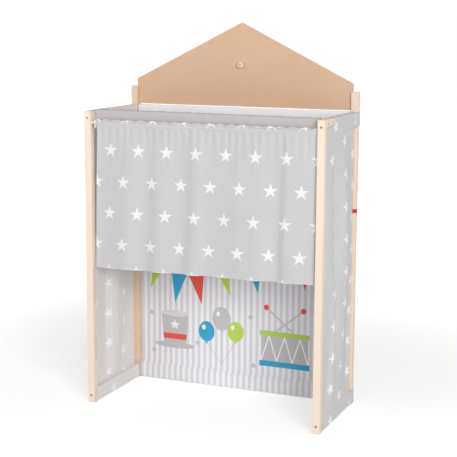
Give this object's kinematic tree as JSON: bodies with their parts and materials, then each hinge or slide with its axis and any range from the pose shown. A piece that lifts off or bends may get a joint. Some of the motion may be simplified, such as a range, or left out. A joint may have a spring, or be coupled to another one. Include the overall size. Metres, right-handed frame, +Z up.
{
  "type": "puppet theater stand",
  "caption": "Free-standing pine puppet theater frame with star cloth sides, a striped backdrop, a gathered front curtain on a rod and a lift-off gable board.",
  "frame": {"origin": "on the floor at the centre of the stand's footprint", "axes": "+Z up, +X to the right of someone facing the open front, +Y from the open front to the backdrop"},
  "size_m": [0.839, 0.3675, 1.2883],
  "materials": {
    "pine": "planed pine, clear matt lacquer",
    "fibreboard": "raw medium-density fibreboard",
    "star_cloth": "woven cotton in light grey with a white star print",
    "plain_cloth": "woven cotton in plain light grey",
    "backdrop_cloth": "woven cotton in white with light grey stripes and a printed scene",
    "red_tape": "woven tape in red",
    "screw_steel": "zinc-plated steel"
  },
  "bodies": {
    "stand": {"front_left_post": "pine", "front_right_post": "pine", "rear_left_post": "pine", "rear_right_post": "pine", "left_top_rail": "pine", "left_bottom_rail": "pine", "right_top_rail": "pine", "right_bottom_rail": "pine", "front_top_rail": "pine", "rear_top_rail": "pine", "rear_bottom_rail": "pine", "curtain_rod": "pine", "left_top_rail_front_screw": "screw_steel", "left_top_rail_rear_screw": "screw_steel", "left_bottom_rail_front_screw": "screw_steel", "left_bottom_rail_rear_screw": "screw_steel", "right_top_rail_front_screw": "screw_steel", "right_top_rail_rear_screw": "screw_steel", "right_bottom_rail_front_screw": "screw_steel", "right_bottom_rail_rear_screw": "screw_steel", "rear_top_rail_left_screw": "screw_steel", "rear_top_rail_right_screw": "screw_steel", "rear_bottom_rail_left_screw": "screw_steel", "rear_bottom_rail_right_screw": "screw_steel", "front_top_rail_left_screw": "screw_steel", "front_top_rail_right_screw": "screw_steel", "left_side_cover": "star_cloth", "right_side_cover": "star_cloth", "backdrop": "backdrop_cloth", "front_rail_sleeve": "plain_cloth", "side_tab": "red_tape"},
    "gable": {"gable_board": "fibreboard", "gable_knob_screw": "screw_steel", "gable_knob_nut": "screw_steel"},
    "knob": {"gable_knob": "pine"},
    "curtain": {"curtain": "star_cloth"}
  },
  "joints": [
    {"name": "gable_lift", "type": "slide", "parent": "stand", "child": "gable", "axis": [0, 0, 1], "range_m": [0, 0.1]},
    {"name": "knob_turn", "type": "hinge", "parent": "gable", "child": "knob", "pos_m": [0, 0.16, 1.1468], "axis": [0, -1, 0], "continuous": true},
    {"name": "curtain_draw", "type": "slide", "parent": "stand", "child": "curtain", "axis": [1, 0, 0], "range_m": [0, 0.52], "deforming": ["curtain"]}
  ]
}
